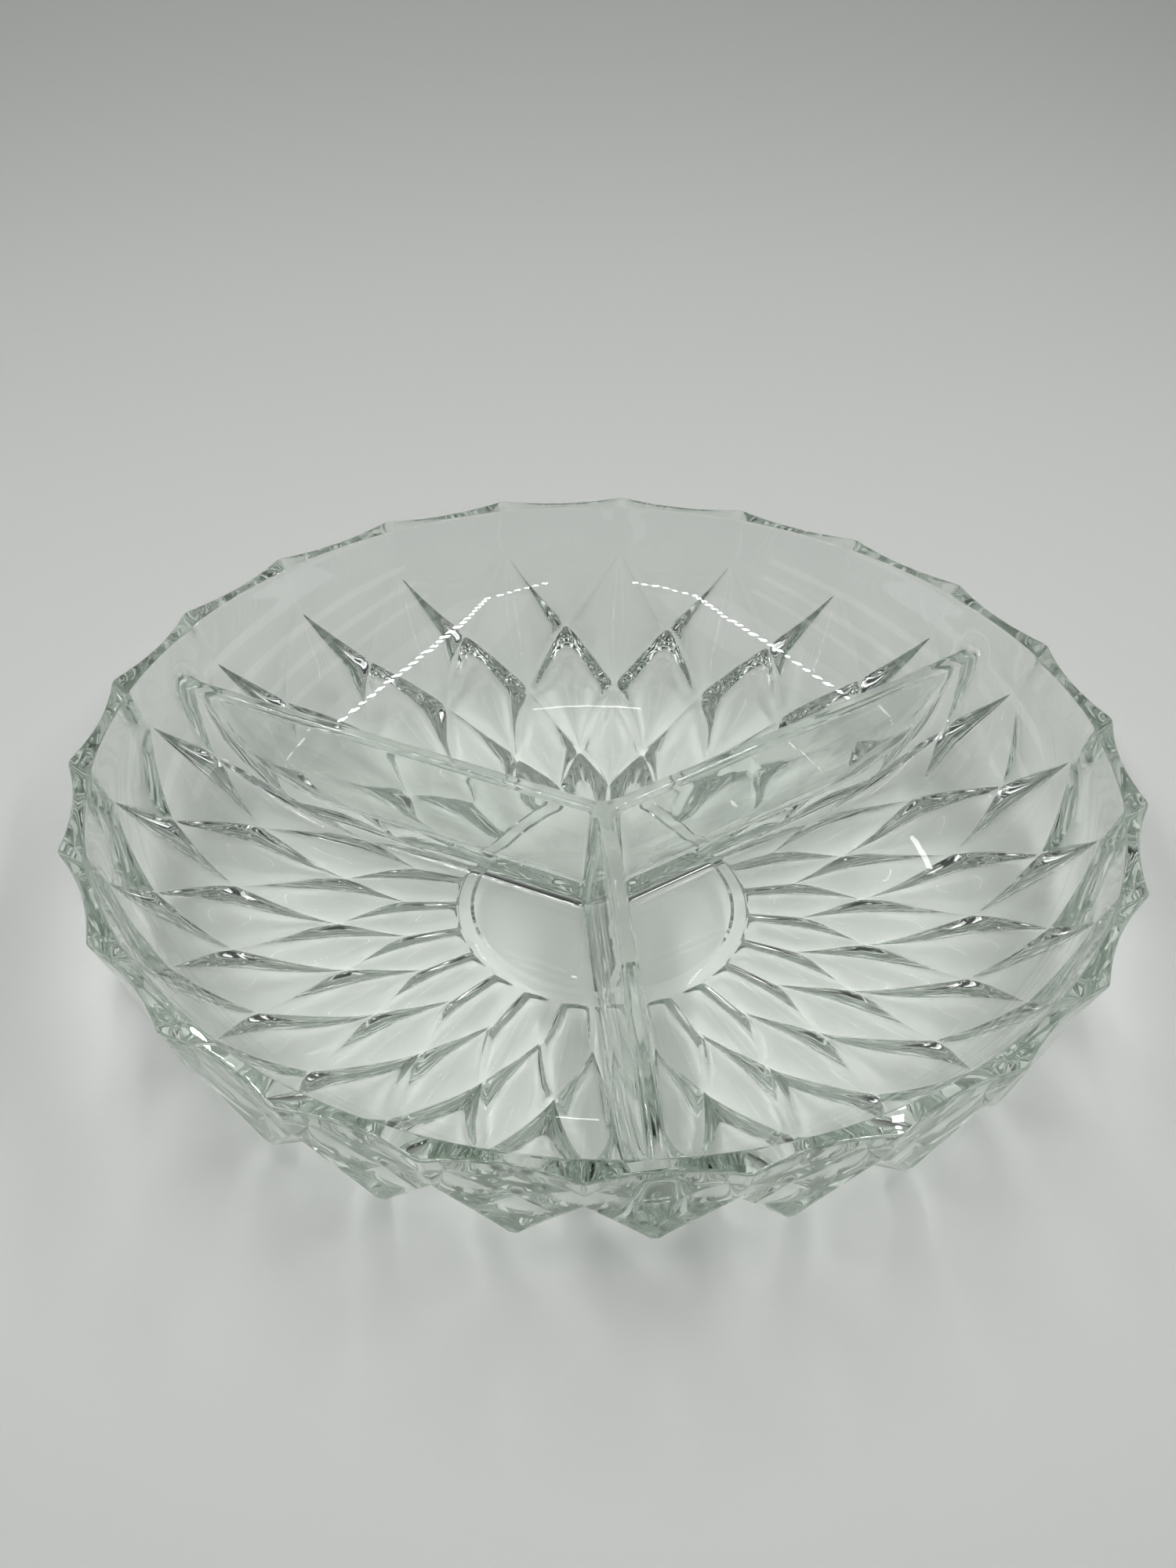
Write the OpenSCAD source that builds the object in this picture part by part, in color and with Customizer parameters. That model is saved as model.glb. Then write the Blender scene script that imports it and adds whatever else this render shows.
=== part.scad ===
// Round three-part relish dish in clear pressed glass.
// The inside is smooth. The outside is cut in staggered rows of long lozenges, hollow between their ridges,
// under a ring of shallow flutes that give the rim its points.
// Axis on Z, resting plane at Z = 0, one divider along -Y.

/* [Rim] */
// Diameter across the points of the rim
rim_point_d = 216; // [190:1:250]
// Height of the rim points above the table
rim_point_h = 38.2; // [35:0.1:46]
// Depth of each hollow of the rim, from the circle through the points
rim_hollow = 3; // [2:0.1:4.5]
// Width of the rim at the bottom of its hollows
rim_wall = 2.9; // [2:0.1:3.5]
// Rise of the inner edge of the rim above its points
lip_rise = 0.5; // [0.3:0.1:1.5]

/* [Inside] */
// Height of the inner floor above the table
floor_h = 8.2; // [7.5:0.1:10]
// Slope of the inner wall from level, at the rim
wall_slope = 66; // [60:1:72]
// Height of the round corner between floor and wall, as a share of the depth of the dish
corner_share = 0.825; // [0.6:0.005:0.95]

/* [Cut pattern] */
// Lozenges in each row, one flute to each
pitch_count = 24; // [18:3:30]
// Tilt of the sides of each lozenge where they leave its ridges
cut_tilt = 38; // [32:1:40]
// Hollow of each lozenge: 1 for a plain V, 2 for a round trough
cut_power = 1.6; // [1.5:0.1:2.2]
// Ring where the upper lozenges begin: share of the rim's diameter
spear_d_share = 0.947; // [0.935:0.001:0.96]
// Ring where the upper lozenges begin: share of the rim's height
spear_h_share = 0.704; // [0.6:0.002:0.8]
// Ring of shoulder peaks: share of the rim's diameter
shoulder_d_share = 0.88; // [0.87:0.001:0.9]
// Ring of shoulder peaks: share of the rim's height
shoulder_h_share = 0.259; // [0.22:0.001:0.3]
// Ring of heel peaks: share of the rim's diameter
heel_d_share = 0.717; // [0.69:0.001:0.74]
// Ring of heel peaks: share of the rim's height
heel_h_share = 0.081; // [0.05:0.001:0.12]
// Ring of peaks that the dish rests on: share of the rim's diameter
rest_d_share = 0.507; // [0.48:0.001:0.54]
// Ring of toe peaks, round the base disc: share of the rim's diameter
toe_d_share = 0.38; // [0.36:0.001:0.4]
// Ring of toe peaks, round the base disc: share of the rim's height
toe_h_share = 0.018; // [0.01:0.001:0.03]
// Width of the worn flat on each resting peak, across the ring
rest_flat = 1; // [0.6:0.1:1.4]

/* [Base disc] */
// Diameter of the plain disc in the middle of the underside, as a share of the dish
disc_d_share = 0.282; // [0.23:0.001:0.3]
// Thickness of the glass at the disc
disc_t = 4; // [3:0.1:5]
// Height of the ridges where they reach the disc, as a share of the recess that it lies in
ridge_end_share = 0.43; // [0.2:0.01:0.8]

/* [Dividers] */
// Height of the divider tops above the table
divider_h = 31.7; // [26:0.1:34]
// Width of a divider at its top
divider_top_w = 3.9; // [3:0.1:5]
// Width of a divider at the floor
divider_base_w = 8; // [6:0.1:10]
// Radius along the top edges of the dividers
divider_edge_r = 1.3; // [0.6:0.1:1.5]
// Radius of the fillet where a divider meets the floor
divider_fillet_r = 2.4; // [1:0.1:4]
// Distance from the axis to where the dividers leave the hub
hub_reach = 11; // [8:0.5:16]

/* [Hidden] */
divider_count = 3;
front_angle = 270;
// How far every cutting shape runs past what it cuts, as a share of the dish
overrun_share = 0.015;
overrun = rim_point_d * overrun_share;
// Steps along each ridge, across half a lozenge, across half a flute, and along the turned curves
facet_steps = 4;
cut_steps = 2;
flute_steps = 4;
curve_steps = 12;
round_fn = 150;
// Hollow of the flutes, a round trough
flute_power = 2;
glass = [0.80, 0.87, 0.83, 0.55];
// How far a ridge dips between its two peaks, as a share of the depth of the cuts beside it
ridge_dip_share = 0.25;

pitch = 360 / pitch_count;
// A flute is centred on each divider, so the rim points stand half a pitch to either side
first_point_angle = front_angle + pitch / 2;
tip = [rim_point_d / 2, rim_point_h];
// A ring of peaks from its shares of the rim
function ring(d_share, h_share) = [tip.x * d_share, tip.y * h_share];
spear = ring(spear_d_share, spear_h_share);
shoulder = ring(shoulder_d_share, shoulder_h_share);
heel = ring(heel_d_share, heel_h_share);
// The resting peaks are worn down to the table, so they were pressed this much lower
worn_h = rest_flat / 2 * tan(cut_tilt);
rest_peak = ring(rest_d_share, 0) - [0, worn_h];
toe = ring(toe_d_share, toe_h_share);
disc_r = tip.x * disc_d_share;
disc_under_h = floor_h - disc_t;
disc_edge = [disc_r, disc_under_h * ridge_end_share];
flute_top = tip - [rim_hollow, 0];

// The inner wall: a flat floor, a round corner and a straight wall up to the lip
rim_inner_r = flute_top.x - rim_wall;
lip_h = rim_point_h + lip_rise;
lip_round = lip_rise;
wall_top = [rim_inner_r, lip_h - lip_round];
wall_foot_r = wall_top.x - (wall_top.y - floor_h) / tan(wall_slope);
corner_r = corner_share * (wall_top.y - floor_h) / (1 - cos(wall_slope));
floor_r = wall_foot_r - corner_r * tan(wall_slope / 2);
// The floor ring ends a little inside the place where the corner begins to rise
floor_end_share = 0.54;
floor_end_r = tip.x * floor_end_share;

function along(a, b, t) = a + (b - a) * t;
// Parabola through a at 0, m at 1/2 and b at 1
function bow(a, m, b, t) = a * (1 - t) * (1 - 2 * t) + m * 4 * t * (1 - t) + b * t * (2 * t - 1);
function inward(before, after) =
    let (d = (after - before) / norm(after - before)) [d.y, -d.x];
function turned(p, angle) = [p.x * cos(angle), p.x * sin(angle), p.y];
function arc(centre, r, from, to, steps) =
    [for (i = [0:steps]) centre + r * [cos(along(from, to, i / steps)), sin(along(from, to, i / steps))]];

// Half the width of a lozenge at a ring of peaks, and how deep its hollow is there
function half_width(peak) = peak.x * sin(pitch / 2);
function cut_depth(peak) = half_width(peak) * tan(cut_tilt) / cut_power;
// The lowest line of a lozenge, level with the peaks on its two sides
function valley(before, peak, after) =
    [peak.x * cos(pitch / 2), peak.y] + inward(before, after) * cut_depth(peak);

upper_valley = valley(spear, shoulder, heel);
middle_valley = valley(shoulder, heel, rest_peak);
lower_valley = valley(heel, rest_peak, toe);
inner_valley = valley(rest_peak, toe, disc_edge);

// The pattern runs a little past the rim and past the base disc, which then trim it
above_tip = along(spear, tip, 1 + overrun * 2 / norm(tip - spear));
above_flute = along(shoulder, flute_top, 1 + overrun * 2 / norm(flute_top - shoulder));
inside_ridge = along(toe, disc_edge, 1 + overrun / norm(disc_edge - toe));
inside_valley = [inside_ridge.x * cos(pitch / 2), inside_ridge.y + cut_depth(inside_ridge)];

// A ridge between two peaks, dipping in the middle
function ridge(a, b, t) =
    along(a, b, t) + inward(a, b) * (cut_depth(a) + cut_depth(b)) / 2 * ridge_dip_share * 4 * t * (1 - t);

// Each strip of the pattern, over half a pitch: its ridge, which side the ridge starts and ends on
// (0 on the rim-point line, 1 on the flute line), and the lines on both sides of the ridge
function strip_ridge(s, t) =
    s == 0 ? along(above_tip, spear, t) :
    s == 1 ? along(spear, shoulder, t) :
    s == 2 ? ridge(shoulder, heel, t) :
    s == 3 ? ridge(heel, rest_peak, t) :
    s == 4 ? ridge(rest_peak, toe, t) :
    along(toe, inside_ridge, t);
ridge_sides = [[0, 0], [0, 1], [1, 0], [0, 1], [1, 0], [0, 0]];
function tip_line(s, t) =
    s == 0 || s == 5 ? strip_ridge(s, t) :
    s == 1 ? bow(spear, upper_valley, heel, t / 2) :
    s == 2 ? bow(spear, upper_valley, heel, (1 + t) / 2) :
    s == 3 ? bow(heel, lower_valley, toe, t / 2) :
    bow(heel, lower_valley, toe, (1 + t) / 2);
spear_share = norm(above_tip - spear) / (norm(above_tip - spear) + norm(spear - shoulder));
function flute_line(s, t) =
    s == 0 ? along(above_flute, shoulder, spear_share * t) :
    s == 1 ? along(above_flute, shoulder, along(spear_share, 1, t)) :
    s == 2 ? bow(shoulder, middle_valley, rest_peak, t / 2) :
    s == 3 ? bow(shoulder, middle_valley, rest_peak, (1 + t) / 2) :
    s == 4 ? bow(rest_peak, inner_valley, inside_valley, t / 2) :
    bow(rest_peak, inner_valley, inside_valley, (1 + t) / 2);
function is_flute(s) = s < 2;
strip_count = len(ridge_sides);

// One line of points across half a pitch, from the rim-point line to the flute line
function line_across(s, t) =
    let (side = along(ridge_sides[s][0], ridge_sides[s][1], t))
    let (start = tip_line(s, t))
    let (top = strip_ridge(s, t))
    let (bed = flute_line(s, t))
    let (steps = is_flute(s) ? flute_steps : cut_steps)
    let (power = is_flute(s) ? flute_power : cut_power)
    concat(
        [for (q = [0:cut_steps - 1])
            [along(start, top, pow(q / cut_steps, cut_power)), side * q / cut_steps]],
        [for (q = [0:steps]) [along(bed, top, pow(1 - q / steps, power)), along(side, 1, q / steps)]]);

// That line in place, on the left or right half of the pitch numbered k
function half_pitch(line, k, hand) =
    [for (p = line) turned(p[0], first_point_angle + pitch * (k + hand * p[1] / 2))];
function facets(upper, lower, hand) =
    [for (j = [0:len(upper) - 2])
        for (f = [[upper[j], lower[j], lower[j + 1]], [upper[j], lower[j + 1], upper[j + 1]]])
            if (f[0] != f[1] && f[1] != f[2] && f[0] != f[2])
                hand > 0 ? f : [f[0], f[2], f[1]]];
function pattern_facets() =
    [for (k = [0:pitch_count - 1]) for (hand = [-1, 1])
        for (s = [0:strip_count - 1]) for (i = [0:facet_steps - 1]) each facets(
            half_pitch(line_across(s, i / facet_steps), k, hand),
            half_pitch(line_across(s, (i + 1) / facet_steps), k, hand),
            hand)];
// Level covers over the two open ends of the pattern
function cover_facets(s, t, level, up) =
    [for (k = [0:pitch_count - 1]) for (hand = [-1, 1])
        let (edge = half_pitch(line_across(s, t), k, hand))
        let (middle = [0, 0, level])
        for (j = [0:len(edge) - 2])
            if (edge[j] != edge[j + 1])
                hand * up > 0 ? [middle, edge[j], edge[j + 1]] : [middle, edge[j + 1], edge[j]]];

// The outside of the dish as one closed body, before it is hollowed
module pattern_body() {
    faces = concat(
        pattern_facets(),
        cover_facets(0, 0, above_tip.y, 1),
        cover_facets(strip_count - 1, 1, inside_ridge.y, -1));
    polyhedron(
        points = [for (f = faces) each f],
        faces = [for (i = [0:len(faces) - 1]) [3 * i, 3 * i + 2, 3 * i + 1]]);
}

// Everything above the glass: the inside of the dish, and the air over the lip, which falls to the points
module hollow() {
    corner = [floor_r, floor_h + corner_r];
    lip_crown = [rim_inner_r + lip_round, lip_h - lip_round];
    lip_top = [lip_crown.x, lip_h];
    past_tip = along(lip_top, tip, 1 + overrun * 2 / norm(tip - lip_top));
    sky = lip_h + overrun * 4;
    rotate_extrude($fn = round_fn)
        polygon(concat(
            [[0, floor_h]],
            arc(corner, corner_r, -90, wall_slope - 90, curve_steps),
            arc(lip_crown, lip_round, 180, 90, curve_steps / 3),
            [past_tip, [past_tip.x, sky], [0, sky]]));
}

// The hollowed dish, worn level where it rests
module bowl() {
    difference() {
        pattern_body();
        hollow();
        translate([0, 0, -overrun])
            cylinder(d = rim_point_d, h = overrun, $fn = round_fn);
    }
}

module core(r) {
    translate([0, 0, -overrun])
        cylinder(r = r, h = lip_h + overrun, $fn = round_fn);
}

// Everything outside the floor: the round corner, the fluted wall and the pointed rim
module side_wall() {
    color(glass)
        difference() {
            bowl();
            core(floor_end_r);
        }
}

// The floor between the side and the plain disc, with its rows of lozenges underneath
module floor_ring() {
    color(glass)
        difference() {
            intersection() {
                bowl();
                core(floor_end_r);
            }
            core(disc_r);
        }
}

module base_disc() {
    color(glass)
        translate([0, 0, disc_under_h])
            cylinder(r = disc_r, h = disc_t, $fn = round_fn);
}

// Cross-section of a divider: drafted sides, rounded top edges, fillets at the floor
module divider_section() {
    top = divider_top_w / 2;
    base = divider_base_w / 2;
    edge_h = divider_h - divider_edge_r;
    draft = atan((base - top) / (edge_h - floor_h));
    fillet_run = divider_fillet_r * tan((90 - draft) / 2);
    fillet_centre = [base + fillet_run, floor_h + divider_fillet_r];
    half = concat(
        [[fillet_centre.x, floor_h - overrun]],
        arc(fillet_centre, divider_fillet_r, 270, 180 + draft, curve_steps / 2),
        arc([top - divider_edge_r, edge_h], divider_edge_r, draft, 90, curve_steps / 2));
    other_half = [for (i = [len(half) - 1:-1:0]) [-half[i].x, half[i].y]];
    polygon(concat(half, other_half));
}

module divider_wall(from, to) {
    intersection() {
        rotate([90, 0, 90])
            translate([0, 0, from])
                linear_extrude(height = to - from)
                    divider_section();
        hollow();
    }
}

module divider(angle) {
    color(glass)
        rotate(angle)
            divider_wall(hub_reach, rim_point_d / 2);
}

module divider_hub() {
    color(glass)
        union()
            for (i = [0:divider_count - 1])
                rotate(front_angle + i * 360 / divider_count)
                    divider_wall(0, hub_reach);
}

module front_divider() divider(front_angle);
module right_divider() divider(front_angle + 360 / divider_count);
module left_divider() divider(front_angle - 360 / divider_count);

side_wall();
floor_ring();
base_disc();
divider_hub();
front_divider();
right_divider();
left_divider();
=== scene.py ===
# Three-part relish dish of clear pressed glass, on a pale sheet that curves up behind it.
import math

import bpy
from mathutils import Matrix, Vector


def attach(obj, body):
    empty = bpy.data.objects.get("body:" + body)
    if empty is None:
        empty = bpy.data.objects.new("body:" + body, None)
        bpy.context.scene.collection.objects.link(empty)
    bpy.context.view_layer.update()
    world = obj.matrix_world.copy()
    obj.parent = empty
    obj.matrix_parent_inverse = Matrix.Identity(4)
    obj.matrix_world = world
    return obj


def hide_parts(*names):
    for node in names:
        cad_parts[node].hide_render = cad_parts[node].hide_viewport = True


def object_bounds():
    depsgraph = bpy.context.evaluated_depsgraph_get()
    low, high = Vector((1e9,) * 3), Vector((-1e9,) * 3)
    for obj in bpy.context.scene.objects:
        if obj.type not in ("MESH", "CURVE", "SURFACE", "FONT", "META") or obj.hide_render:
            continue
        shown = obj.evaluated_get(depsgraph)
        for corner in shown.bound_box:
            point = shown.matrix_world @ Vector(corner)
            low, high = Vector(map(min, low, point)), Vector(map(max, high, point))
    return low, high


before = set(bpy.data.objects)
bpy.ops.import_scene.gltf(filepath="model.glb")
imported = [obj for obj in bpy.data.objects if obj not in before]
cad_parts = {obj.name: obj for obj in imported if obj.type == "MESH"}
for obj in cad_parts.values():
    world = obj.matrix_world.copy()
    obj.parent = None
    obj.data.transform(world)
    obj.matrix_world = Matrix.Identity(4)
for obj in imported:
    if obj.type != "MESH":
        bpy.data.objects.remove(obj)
cad_low, cad_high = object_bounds()


# Outside of the dish
# The dish is a single pressing of clear soda glass. The mould gives the outside a ring of flutes under
# the pointed rim and staggered rows of hollow lozenges under those. They repeat round the axis, so half of
# one pitch is shaped, mirrored and turned into the whole.
pitch_count = 24
half_pitch = math.pi / pitch_count
rim_point_h = 0.0382
rim_hollow = 0.0030
rim_wall = 0.0029
cut_tilt = math.radians(42)
cut_power = 1.9
ridge_dip_share = 0.25
ridge_round = 0.0008
tip_round = 0.0010
edge_round = 0.0007
# Share of the lamps' light that each part of the glass lets down to the sheet
ridge_light, hollow_light = 0.8, 0.0
band_light, disc_light = 0.7, 0.10
inside_light = 0.75

tip = Vector((cad_high.x / math.cos(half_pitch), rim_point_h))
flute_top = tip - Vector((rim_hollow, 0))
lip_h = cad_high.z
lip_round = lip_h - tip.y
wall_slope = math.radians(66)
wall_top = Vector((flute_top.x - rim_wall, lip_h - lip_round))
lip_top = Vector((wall_top.x + lip_round, lip_h))


def ring(r_share, h_share):
    return Vector((tip.x * r_share, tip.y * h_share))


spear = ring(0.947, 0.704)
shoulder = ring(0.880, 0.259)
heel = ring(0.717, 0.081)
resting = ring(0.507, -0.0102)
toe = ring(0.38, 0.018)
disc_r = tip.x * 0.282
disc_under_h = 0.0042
disc_edge = Vector((disc_r, disc_under_h * 0.43))
flute_mid = shoulder.lerp(flute_top, 0.611)


def inward(before, after):
    run = (after - before).normalized()
    return Vector((run.y, -run.x))


def cut_depth(peak):
    return peak.x * math.sin(half_pitch) * math.tan(cut_tilt) / cut_power


def valley(before, peak, after):
    return Vector((peak.x * math.cos(half_pitch), peak.y)) + inward(before, after) * cut_depth(peak)


def bow(a, m, b, t):
    return a * ((1 - t) * (1 - 2 * t)) + m * (4 * t * (1 - t)) + b * (t * (2 * t - 1))


def dipped(a, b, t):
    dip = (cut_depth(a) + cut_depth(b)) / 2 * ridge_dip_share * 4 * t * (1 - t)
    return a.lerp(b, t) + inward(a, b) * dip


upper_valley = valley(spear, shoulder, heel)
middle_valley = valley(shoulder, heel, resting)
lower_valley = valley(heel, resting, toe)
inner_valley = valley(resting, toe, disc_edge)
end_valley = disc_edge + Vector((0, cut_depth(disc_edge)))


# Shares of the way from the middle of a hollow to its ridge, closer together near the ridge
steps = (0, 0.3, 0.5, 0.66, 0.8, 0.91, 1)


def across(tip_point, ridge_point, side, bed, fluted, soft):
    """Points over half a pitch, each a share of it and a place: a hollow, the ridge, the next hollow."""
    width = half_pitch * ridge_point.x
    left = min(soft / width, side / 6)
    right = min(soft / width, (1 - side) / 6)
    power = 2 if fluted else cut_power

    def surface(u):
        if u < side:
            return tip_point.lerp(ridge_point, (u / side) ** cut_power)
        if side == 1:
            return ridge_point.copy()
        return bed.lerp(ridge_point, ((1 - u) / (1 - side)) ** power)

    row = [(u, surface(u)) for u in [(side - left) * k for k in steps]]
    row += [(side, ridge_point)]
    row += [(u, surface(u)) for u in [1 - (1 - side - right) * k for k in steps[::-1]]]
    n = len(steps)
    before = row[n - 1][1] if side > 0 else row[n + 1][1]
    after = row[n + 1][1] if side < 1 else row[n - 1][1]
    row[n] = (side, ridge_point.lerp((before + after) / 2, 0.5))
    if side == 0:
        row[:n] = [row[n]] * n
    if side == 1:
        row[n + 1:] = [row[n]] * n
    return row


# The lip: a rounded crown inside, a slope down to the points, and a fire-polished outer edge
upper = across(tip, tip, 0, flute_top, True, tip_round)
lower = across(spear, spear, 0, flute_mid, True, ridge_round)
lip_fall = (lip_top.y - tip.y) / (tip.x - lip_top.x)
outer_edge = []
for (share, a), (_, b) in zip(upper, lower):
    run = b - a
    cut = (lip_top.y - lip_fall * (a.x - lip_top.x) - a.y) / (run.y + lip_fall * run.x)
    outer_edge.append((share, a + run * cut))
lip_start = wall_top - Vector((math.cos(wall_slope), math.sin(wall_slope))) * 0.001
rows = [[(share, lip_start) for share, _ in outer_edge]]
for k in range(6):
    turn = math.pi - k * math.pi / 10
    crown = Vector((lip_top.x, wall_top.y)) + Vector((math.cos(turn), math.sin(turn))) * lip_round
    rows.append([(share, crown) for share, _ in outer_edge])
rows.append([(share, lip_top.lerp(p, 0.5)) for share, p in outer_edge])
on_lip = [(share, p + (lip_top - p).normalized() * min(edge_round, (lip_top - p).length / 3))
    for share, p in outer_edge]
on_wall = [(share, p + (low - p).normalized() * edge_round)
    for (share, p), (_, low) in zip(outer_edge, lower)]
for q in (0, 0.3, 0.7, 1):
    rows.append([(share, a.lerp(p, q).lerp(p.lerp(b, q), q))
        for (share, a), (_, p), (_, b) in zip(on_lip, outer_edge, on_wall)])
for k in range(1, 8):
    rows.append([(u + (v - u) * k / 8, a.lerp(b, k / 8)) for (u, a), (v, b) in zip(on_wall, lower)])

# The five rows of cuts, from the flutes down to the disc
for k in range(13):
    t = k / 12
    rows.append(across(bow(spear, upper_valley, heel, t / 2), spear.lerp(shoulder, t), t,
        flute_mid.lerp(shoulder, t), True, ridge_round))
for k in range(1, 13):
    t = k / 12
    rows.append(across(bow(spear, upper_valley, heel, (1 + t) / 2), dipped(shoulder, heel, t), 1 - t,
        bow(shoulder, middle_valley, resting, t / 2), False, ridge_round))
for k in range(1, 13):
    t = k / 12
    rows.append(across(bow(heel, lower_valley, toe, t / 2), dipped(heel, resting, t), t,
        bow(shoulder, middle_valley, resting, (1 + t) / 2), False, ridge_round))
for k in range(1, 11):
    t = k / 10
    rows.append(across(bow(heel, lower_valley, toe, (1 + t) / 2), dipped(resting, toe, t), 1 - t,
        bow(resting, inner_valley, end_valley, t / 2), False, ridge_round))
for k in range(1, 7):
    t = k / 6
    rows.append(across(toe.lerp(disc_edge, t), toe.lerp(disc_edge, t), 0,
        bow(resting, inner_valley, end_valley, (1 + t) / 2), False, ridge_round))
rows[-1] = [(u, Vector((disc_r, p.y))) for u, p in rows[-1]]

# The plain disc lies in a shallow recess, with a low step inside its edge
disc_row = len(rows)
disc_rows = (
    (disc_r - 0.0003, 0.0028, band_light), (disc_r - 0.0006, 0.0031, band_light),
    (disc_r - 0.0010, 0.0033, band_light), (disc_r - 0.0030, 0.0034, band_light),
    (disc_r - 0.0033, 0.0035, band_light), (disc_r - 0.0038, 0.0041, disc_light),
    (disc_r - 0.0041, disc_under_h, disc_light), (disc_r * 0.5, disc_under_h, disc_light),
    (0, disc_under_h, disc_light))
for r, z, _ in disc_rows:
    rows.append([(u, Vector((r, z))) for u, _ in rows[-1]])


def grid_of(name, points, passed):
    """A grid whose corners are moved to the given rows of places, each with the light it lets pass."""
    bpy.ops.object.select_all(action="DESELECT")
    bpy.ops.mesh.primitive_grid_add(x_subdivisions=len(points[0]) - 1, y_subdivisions=len(points) - 1)
    made = bpy.context.object
    made.name = made.data.name = name
    for v, place in zip(made.data.vertices, [p for row in points for p in row]):
        v.co = place
    light = made.data.attributes.new("light_passed", "FLOAT", "POINT")
    light.data.foreach_set("value", [k for row in passed for k in row])
    return made


def turned_copies(made, count, first_angle):
    """Mirrors a half sector in the plane Y = 0, then turns copies of it round the axis."""
    mirror = made.modifiers.new("other half", "MIRROR")
    mirror.use_axis = (False, True, False)
    mirror.merge_threshold = 0.00001
    bpy.ops.object.modifier_apply(modifier=mirror.name)
    made.data.transform(Matrix.Rotation(first_angle, 4, "Z"))
    bpy.ops.object.mode_set(mode="EDIT")
    bpy.ops.mesh.select_all(action="SELECT")
    bpy.ops.mesh.spin(steps=count - 1, dupli=True, angle=math.tau * (count - 1) / count,
        center=(0, 0, 0), axis=(0, 0, 1))
    bpy.ops.mesh.select_all(action="SELECT")
    bpy.ops.mesh.remove_doubles(threshold=0.00003)
    bpy.ops.mesh.dissolve_degenerate(threshold=0.000005)
    bpy.ops.object.mode_set(mode="OBJECT")


# Ridges gather the light that passes them, and the hollows and the disc spread it
gathered = [k ** 3 for k in steps + (1,) + steps[::-1]]
passed = [[hollow_light + (ridge_light - hollow_light) * (1 if p == row[len(steps)][1] else g)
    for g, (_, p) in zip(gathered, row)] for row in rows[:disc_row]]
passed += [[light] * len(gathered) for _, _, light in disc_rows]
dish = grid_of("pressed_dish", [
    [Vector((p.x * math.cos(u * half_pitch), p.x * math.sin(u * half_pitch), max(p.y, 0))) for u, p in row]
    for row in rows], passed)
turned_copies(dish, pitch_count, half_pitch)


# Inside of the dish
# The plunger leaves the inside smooth: a flat floor, a wide round corner, and three level walls from a
# hub at the middle, with rounded tops and soft fillets where they meet the floor and the side. A sixth of
# it is shaped as heights over a plan, mirrored and turned.
floor_h = 0.0082
divider_h = 0.0317
divider_top = 0.0039 / 2
divider_base = 0.0080 / 2
divider_edge_r = 0.0013
fillet_r = 0.0024
end_fillet_r = 0.0034
edge_h = divider_h - divider_edge_r
draft = math.atan((divider_base - divider_top) / (edge_h - floor_h))
depth = wall_top.y - floor_h
corner_r = 0.825 * depth / (1 - math.cos(wall_slope))
floor_r = wall_top.x - depth / math.tan(wall_slope) - corner_r * math.tan(wall_slope / 2)


def over_divider(c, z):
    """Distance outside the divider's cross-section."""
    x, y = c - (divider_top - divider_edge_r), z - edge_h
    if x <= 0:
        return y - divider_edge_r
    if math.atan2(y, x) < draft:
        return x * math.cos(draft) + y * math.sin(draft) - divider_edge_r
    return math.hypot(x, y) - divider_edge_r


def over_bowl(r, z):
    """Distance above the bowl's floor, corner or wall."""
    x, y = r - floor_r, z - floor_h - corner_r
    if x <= 0:
        return z - floor_h
    if y < 0 and math.atan2(y, x) < wall_slope - math.pi / 2:
        return corner_r - math.hypot(x, y)
    return (z - wall_top.y) * math.cos(wall_slope) - (r - wall_top.x) * math.sin(wall_slope)


def glass_height(c, r):
    """Height of the glass at a distance from a divider's middle and from the axis."""
    grow = min(max((r - 0.080) / 0.015, 0), 1)
    soft = fillet_r + (end_fillet_r - fillet_r) * grow * grow * (3 - 2 * grow)
    low, high = 0.0, 0.060
    for _ in range(40):
        z = (low + high) / 2
        a, b = over_divider(c, z), over_bowl(r, z)
        gap = soft - math.hypot(soft - a, soft - b) if a < soft and b < soft else min(a, b)
        low, high = (low, z) if gap > 0 else (z, high)
    return (low + high) / 2


# Distances from a divider's middle: its top, its rounded edge, its side, its fillet, the floor beside it
hub_centre_c = 0.0075
offsets = [0, 0.00035, divider_top - divider_edge_r]
offsets += [divider_top - divider_edge_r + divider_edge_r * math.sin(math.radians(a))
    for a in (18, 34, 49, 62, 74, 83)]
offsets += [0.00205, 0.0024, 0.0028, 0.0032, 0.0035, 0.0038, 0.0041, 0.0045, 0.0050, 0.0056, 0.0062, 0.0068]
offsets += [hub_centre_c]
side_steps = 28
sector = math.pi / 3
# Beside the hub the plan turns about a point on the middle line of a compartment
hub_x = hub_centre_c / math.tan(sector)
inside_rows = []
hub_steps = 6
for k in range(hub_steps + 1):
    turn = -math.pi / 2 - (math.pi / 2 - sector) * (1 - k / hub_steps)
    row = [Vector((hub_x * k / hub_steps, 0, divider_h))]
    for c in offsets:
        reach = hub_centre_c - c
        row.append(Vector((hub_x + reach * math.cos(turn), hub_centre_c + reach * math.sin(turn),
            glass_height(c, 0))))
    row += [row[-1].copy() for _ in range(side_steps)]
    inside_rows.append(row)
radii = [0.0125, 0.018, 0.026, 0.036, 0.046, 0.056, floor_r]
radii += [floor_r + corner_r * math.sin(wall_slope * k / 44) for k in range(1, 45)]
inner_end = lip_start - Vector((math.cos(wall_slope), math.sin(wall_slope))) * 0.0006
straight_from = radii[-1]
radii += [straight_from + (inner_end.x - straight_from) * k / 4 for k in range(1, 5)]
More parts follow.
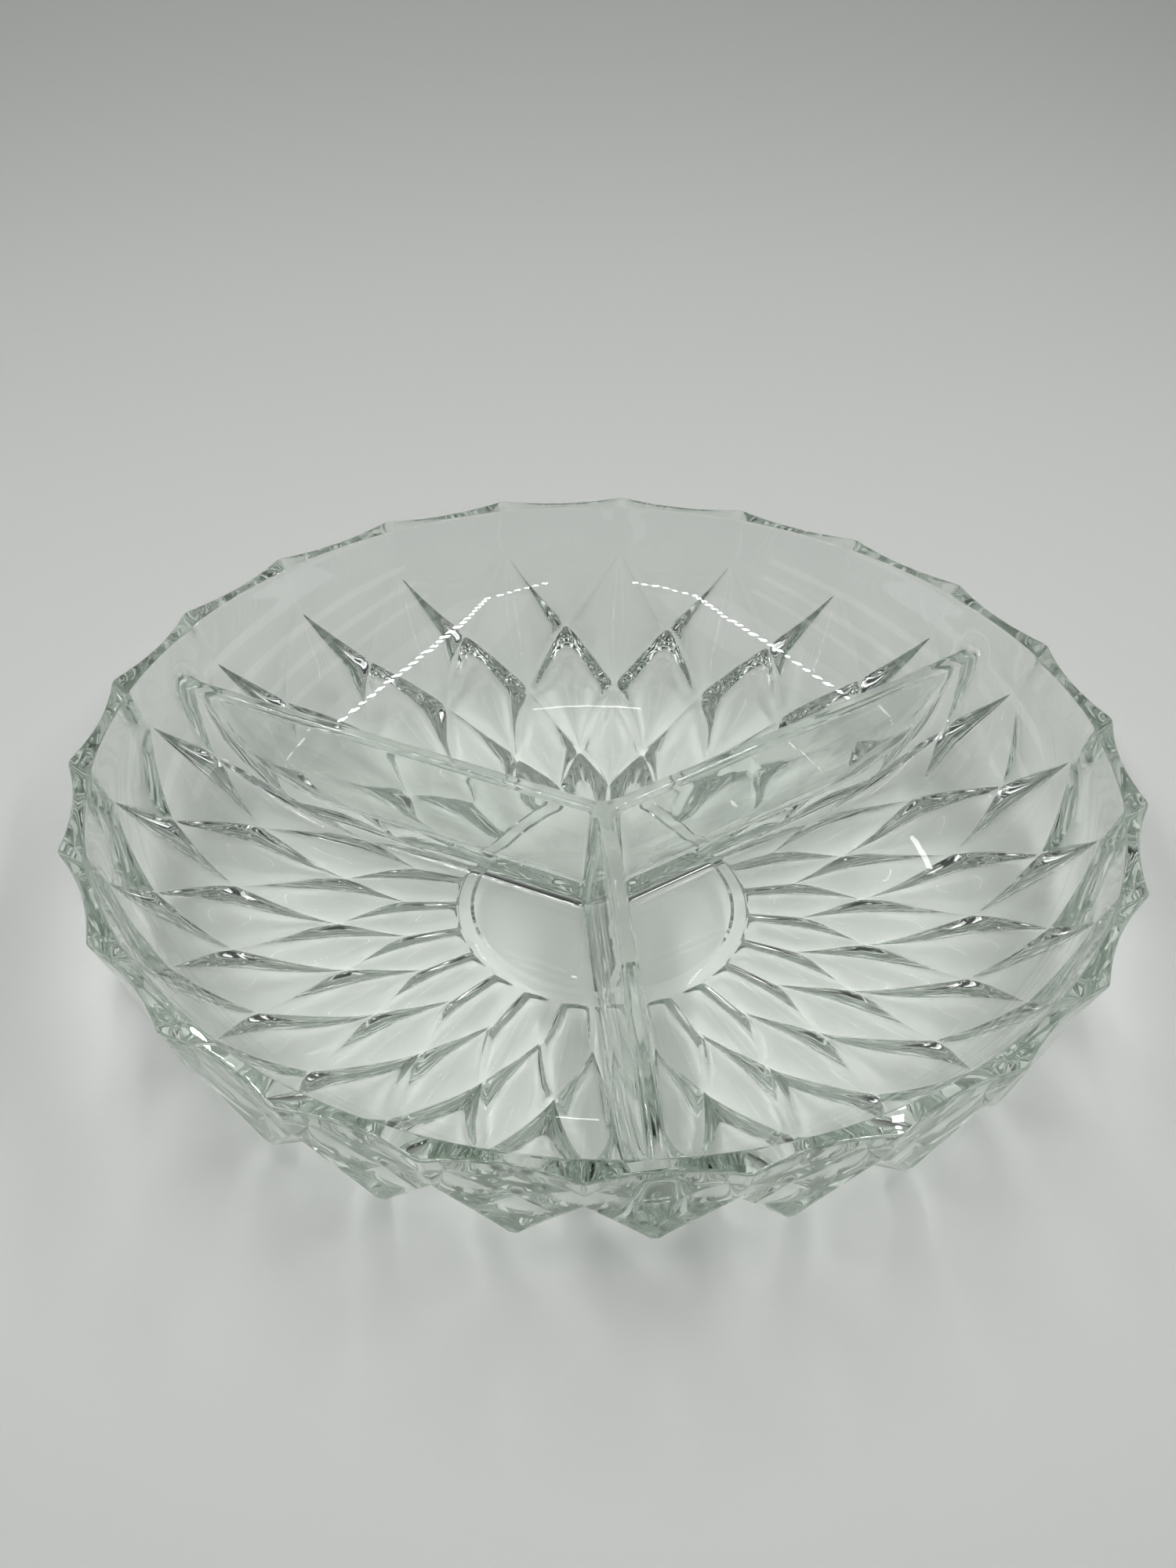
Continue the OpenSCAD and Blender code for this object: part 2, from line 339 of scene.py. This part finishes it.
for r in radii:
    row = [Vector((math.sqrt(r * r - c * c), c, glass_height(c, r))) for c in offsets]
    start = math.asin(hub_centre_c / r)
    for k in range(1, side_steps + 1):
        a = start + (sector - start) * k / side_steps
        c = r * math.sin(a)
        row.append(Vector((r * math.cos(a), c, glass_height(c, r))))
    inside_rows.append([row[0].copy()] + row)

inside = grid_of("inside", inside_rows, [[inside_light] * len(row) for row in inside_rows])
turned_copies(inside, 3, math.radians(30))

# Both are joined at the lip into one closed skin, so that no face is left inside the glass
bpy.ops.object.select_all(action="DESELECT")
inside.select_set(True)
dish.select_set(True)
bpy.context.view_layer.objects.active = dish
bpy.ops.object.join()
bpy.ops.object.mode_set(mode="EDIT")
bpy.ops.mesh.select_mode(type="EDGE")
bpy.ops.mesh.select_all(action="DESELECT")
bpy.ops.mesh.select_non_manifold(extend=False, use_wire=False, use_boundary=True,
    use_multi_face=False, use_non_contiguous=False, use_verts=False)
bpy.ops.mesh.bridge_edge_loops()
bpy.ops.mesh.select_all(action="SELECT")
bpy.ops.mesh.normals_make_consistent(inside=False)
bpy.ops.mesh.faces_shade_smooth()
bpy.ops.object.mode_set(mode="OBJECT")
weighted = dish.modifiers.new("flat facets", "WEIGHTED_NORMAL")
weighted.weight = 70
bpy.ops.object.modifier_apply(modifier=weighted.name)

# The glass is clear with a faint green-grey body, a slightly wavy skin from the mould, and a fine haze of
# scratches where it rests
glass = bpy.data.materials.new("clear_pressed_glass")
glass.use_nodes = True
nodes, links = glass.node_tree.nodes, glass.node_tree.links
skin = nodes["Principled BSDF"]
skin.inputs["Base Color"].default_value = (0.91, 0.928, 0.912, 1)
skin.inputs["IOR"].default_value = 1.52
skin.inputs["Transmission Weight"].default_value = 1
place = nodes.new("ShaderNodeTexCoord")
ripple = nodes.new("ShaderNodeTexNoise")
ripple.inputs["Scale"].default_value = 110
ripple.inputs["Detail"].default_value = 1
links.new(place.outputs["Object"], ripple.inputs["Vector"])
wave = nodes.new("ShaderNodeBump")
wave.inputs["Strength"].default_value = 0.15
wave.inputs["Distance"].default_value = 0.0003
links.new(ripple.outputs["Fac"], wave.inputs["Height"])
links.new(wave.outputs["Normal"], skin.inputs["Normal"])
height = nodes.new("ShaderNodeSeparateXYZ")
links.new(place.outputs["Object"], height.inputs["Vector"])
worn = nodes.new("ShaderNodeMapRange")
worn.inputs["From Min"].default_value = 0.0006
worn.inputs["From Max"].default_value = 0.0
worn.inputs["To Min"].default_value = 0.01
worn.inputs["To Max"].default_value = 0.22
links.new(height.outputs["Z"], worn.inputs["Value"])
links.new(worn.outputs["Result"], skin.inputs["Roughness"])
body = nodes.new("ShaderNodeVolumeAbsorption")
body.inputs["Color"].default_value = (0.65, 0.85, 0.68, 1)
body.inputs["Density"].default_value = 5.5
links.new(body.outputs["Volume"], nodes["Material Output"].inputs["Volume"])
# Lamps also light the sheet through the glass, more weakly where they meet it at a slant
let_through = nodes.new("ShaderNodeBsdfTransparent")
slant = nodes.new("ShaderNodeLayerWeight")
dim = nodes.new("ShaderNodeMapRange")
dim.inputs["From Min"].default_value = 0.10
dim.inputs["From Max"].default_value = 0.48
dim.inputs["To Min"].default_value = 1.0
dim.inputs["To Max"].default_value = 0.0
links.new(slant.outputs["Facing"], dim.inputs["Value"])
passing = nodes.new("ShaderNodeAttribute")
passing.attribute_name = "light_passed"
both = nodes.new("ShaderNodeMath")
both.operation = "MULTIPLY"
links.new(dim.outputs["Result"], both.inputs[0])
links.new(passing.outputs["Fac"], both.inputs[1])
links.new(both.outputs["Value"], let_through.inputs["Color"])
path = nodes.new("ShaderNodeLightPath")
either = nodes.new("ShaderNodeMixShader")
links.new(path.outputs["Is Shadow Ray"], either.inputs["Fac"])
links.new(skin.outputs["BSDF"], either.inputs[1])
links.new(let_through.outputs["BSDF"], either.inputs[2])
links.new(either.outputs["Shader"], nodes["Material Output"].inputs["Surface"])
dish.data.materials.clear()
dish.data.materials.append(glass)

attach(dish, "root")
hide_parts("side_wall", "floor_ring", "base_disc", "divider_hub",
    "front_divider", "right_divider", "left_divider")


# Sheet under and behind the dish
# A roll of pale matt paper lies on the table and sweeps up behind the dish in one wide curve. It stands
# by itself and isn't part of the dish.
bpy.ops.object.select_all(action="DESELECT")
bpy.ops.mesh.primitive_plane_add(size=1)
sheet = bpy.context.object
sheet.name = sheet.data.name = "paper_sweep"
sheet_wide, sheet_front, sheet_back, sheet_high = 3.2, -0.40, 0.55, 1.1
sweep_r = 0.30
for v in sheet.data.vertices:
    v.co = (v.co.x * sheet_wide, sheet_back if v.co.y > 0 else sheet_front, 0)
bpy.ops.object.mode_set(mode="EDIT")
bpy.ops.mesh.select_mode(type="EDGE")
bpy.ops.mesh.select_all(action="DESELECT")
bpy.ops.object.mode_set(mode="OBJECT")
for e in sheet.data.edges:
    e.select = all(sheet.data.vertices[i].co.y > 0 for i in e.vertices)
bpy.ops.object.mode_set(mode="EDIT")
bpy.ops.mesh.extrude_region_move(TRANSFORM_OT_translate={"value": (0, 0, sheet_high)})
bpy.ops.object.mode_set(mode="OBJECT")
for e in sheet.data.edges:
    e.select = all(v.co.y > 0 and v.co.z < 0.1 for v in (sheet.data.vertices[i] for i in e.vertices))
bpy.ops.object.mode_set(mode="EDIT")
bpy.ops.mesh.bevel(offset=sweep_r, offset_type="OFFSET", segments=24, affect="EDGES")
bpy.ops.mesh.select_all(action="SELECT")
bpy.ops.mesh.faces_shade_smooth()
bpy.ops.object.mode_set(mode="OBJECT")
paper = bpy.data.materials.new("pale_matt_paper_painted_shade")
paper.use_nodes = True
nodes, links = paper.node_tree.nodes, paper.node_tree.links
face = nodes["Principled BSDF"]
face.inputs["Roughness"].default_value = 0.85
place = nodes.new("ShaderNodeTexCoord")
along = nodes.new("ShaderNodeSeparateXYZ")
links.new(place.outputs["Object"], along.inputs["Vector"])
# Painted shade: the paper's colour darkens from pale near the dish to grey towards the back, standing in
# for the far end of the sweep lying in shade
shade = nodes.new("ShaderNodeValToRGB")
shade.color_ramp.interpolation = "EASE"
near, far = shade.color_ramp.elements
near.position, near.color = 0.25, (0.77, 0.78, 0.76, 1)
far.position, far.color = 0.52, (0.46, 0.47, 0.45, 1)
links.new(along.outputs["Y"], shade.inputs["Fac"])
links.new(shade.outputs["Color"], face.inputs["Base Color"])
fibre = nodes.new("ShaderNodeTexNoise")
fibre.inputs["Scale"].default_value = 900
links.new(place.outputs["Object"], fibre.inputs["Vector"])
grain = nodes.new("ShaderNodeBump")
grain.inputs["Strength"].default_value = 0.05
grain.inputs["Distance"].default_value = 0.0002
links.new(fibre.outputs["Fac"], grain.inputs["Height"])
links.new(grain.outputs["Normal"], face.inputs["Normal"])
sheet.data.materials.append(paper)


# Light
# A small light box: a row of lamps runs down each side of its roof and turns in at the front, beside the
# opening for the camera. Its roof glows softly, strips of light run along the side walls, and a small lamp
# hangs at the back.
def panel(name, size_x, size_y, at, aim, watts):
    lamp = bpy.data.lights.new(name, "AREA")
    lamp.shape = "RECTANGLE"
    lamp.size, lamp.size_y = size_x, size_y
    lamp.energy = watts
    holder = bpy.data.objects.new(name, lamp)
    holder.location = at
    holder.rotation_euler = (Vector(aim) - Vector(at)).to_track_quat("-Z", "Y").to_euler()
    bpy.context.scene.collection.objects.link(holder)


panel("roof_left", 0.14, 0.62, (-0.17, 0.04, 0.47), (-0.17, 0.04, 0), 0.20)
panel("roof_right", 0.14, 0.62, (0.17, 0.04, 0.47), (0.17, 0.04, 0), 0.20)
for strip_h in (0.09, 0.19, 0.29, 0.39):
    panel("left_strip", 0.60, 0.028, (-0.30, 0.02, strip_h), (0, 0.02, strip_h), 0.05)
    panel("right_strip", 0.60, 0.028, (0.30, 0.02, strip_h), (0, 0.02, strip_h), 0.05)
row_front = Vector((0.085, -0.335, 0.45))
row_turn = Vector((0.17, -0.25, 0.45))
row_back = Vector((0.17, 0.37, 0.45))
row_lamp_size = 0.009
row_places = [row_front.lerp(row_turn, k / 6) for k in range(6)]
row_places += [row_turn.lerp(row_back, k / 31) for k in range(32)]
for x, y, z in row_places:
    for side in (-1, 1):
        panel("row_lamp", row_lamp_size, row_lamp_size, (side * x, y, z), (side * x, y, 0), 0.0225)
panel("back_lamp", 0.02, 0.012, (0.05, 0.46, 0.45), (0, 0, 0), 0.006)
tent = bpy.data.worlds.new("dim_tent")
tent.use_nodes = True
tent.node_tree.nodes["Background"].inputs["Color"].default_value = (0.9, 1.0, 0.96, 1)
tent.node_tree.nodes["Background"].inputs["Strength"].default_value = 0.06
bpy.context.scene.world = tent


# Camera
# It stands a little to the left of the front divider, about 49 cm away and 38 degrees above the table.
azimuth = math.radians(-6.03)
elevation = math.radians(38.16)
roll = math.radians(1.3233)
distance = 0.4928
right = Vector((math.cos(azimuth), math.sin(azimuth), 0))
back = Vector((math.sin(azimuth) * math.cos(elevation), -math.cos(azimuth) * math.cos(elevation),
    math.sin(elevation)))
up = back.cross(right)
aim = Matrix.Rotation(azimuth, 3, "Z") @ Vector((-0.00357, -0.00073, tip.y))
eye = aim + back * distance
level_right, level_up = right, up
right = level_right * math.cos(roll) + level_up * math.sin(roll)
up = level_up * math.cos(roll) - level_right * math.sin(roll)
lens = bpy.data.cameras.new("camera")
lens.sensor_fit = "VERTICAL"
lens.sensor_height = 36
lens.lens = 56.92
lens.clip_start = 0.01
camera = bpy.data.objects.new("camera", lens)
camera.matrix_world = Matrix((
    (right.x, up.x, back.x, eye.x),
    (right.y, up.y, back.y, eye.y),
    (right.z, up.z, back.z, eye.z),
    (0, 0, 0, 1)))
bpy.context.scene.collection.objects.link(camera)
bpy.context.scene.camera = camera

bpy.context.scene.view_settings.view_transform = "Standard"
bpy.context.scene.cycles.max_bounces = 24
bpy.context.scene.cycles.transmission_bounces = 24
bpy.context.scene.cycles.glossy_bounces = 12
bpy.context.view_layer.update()
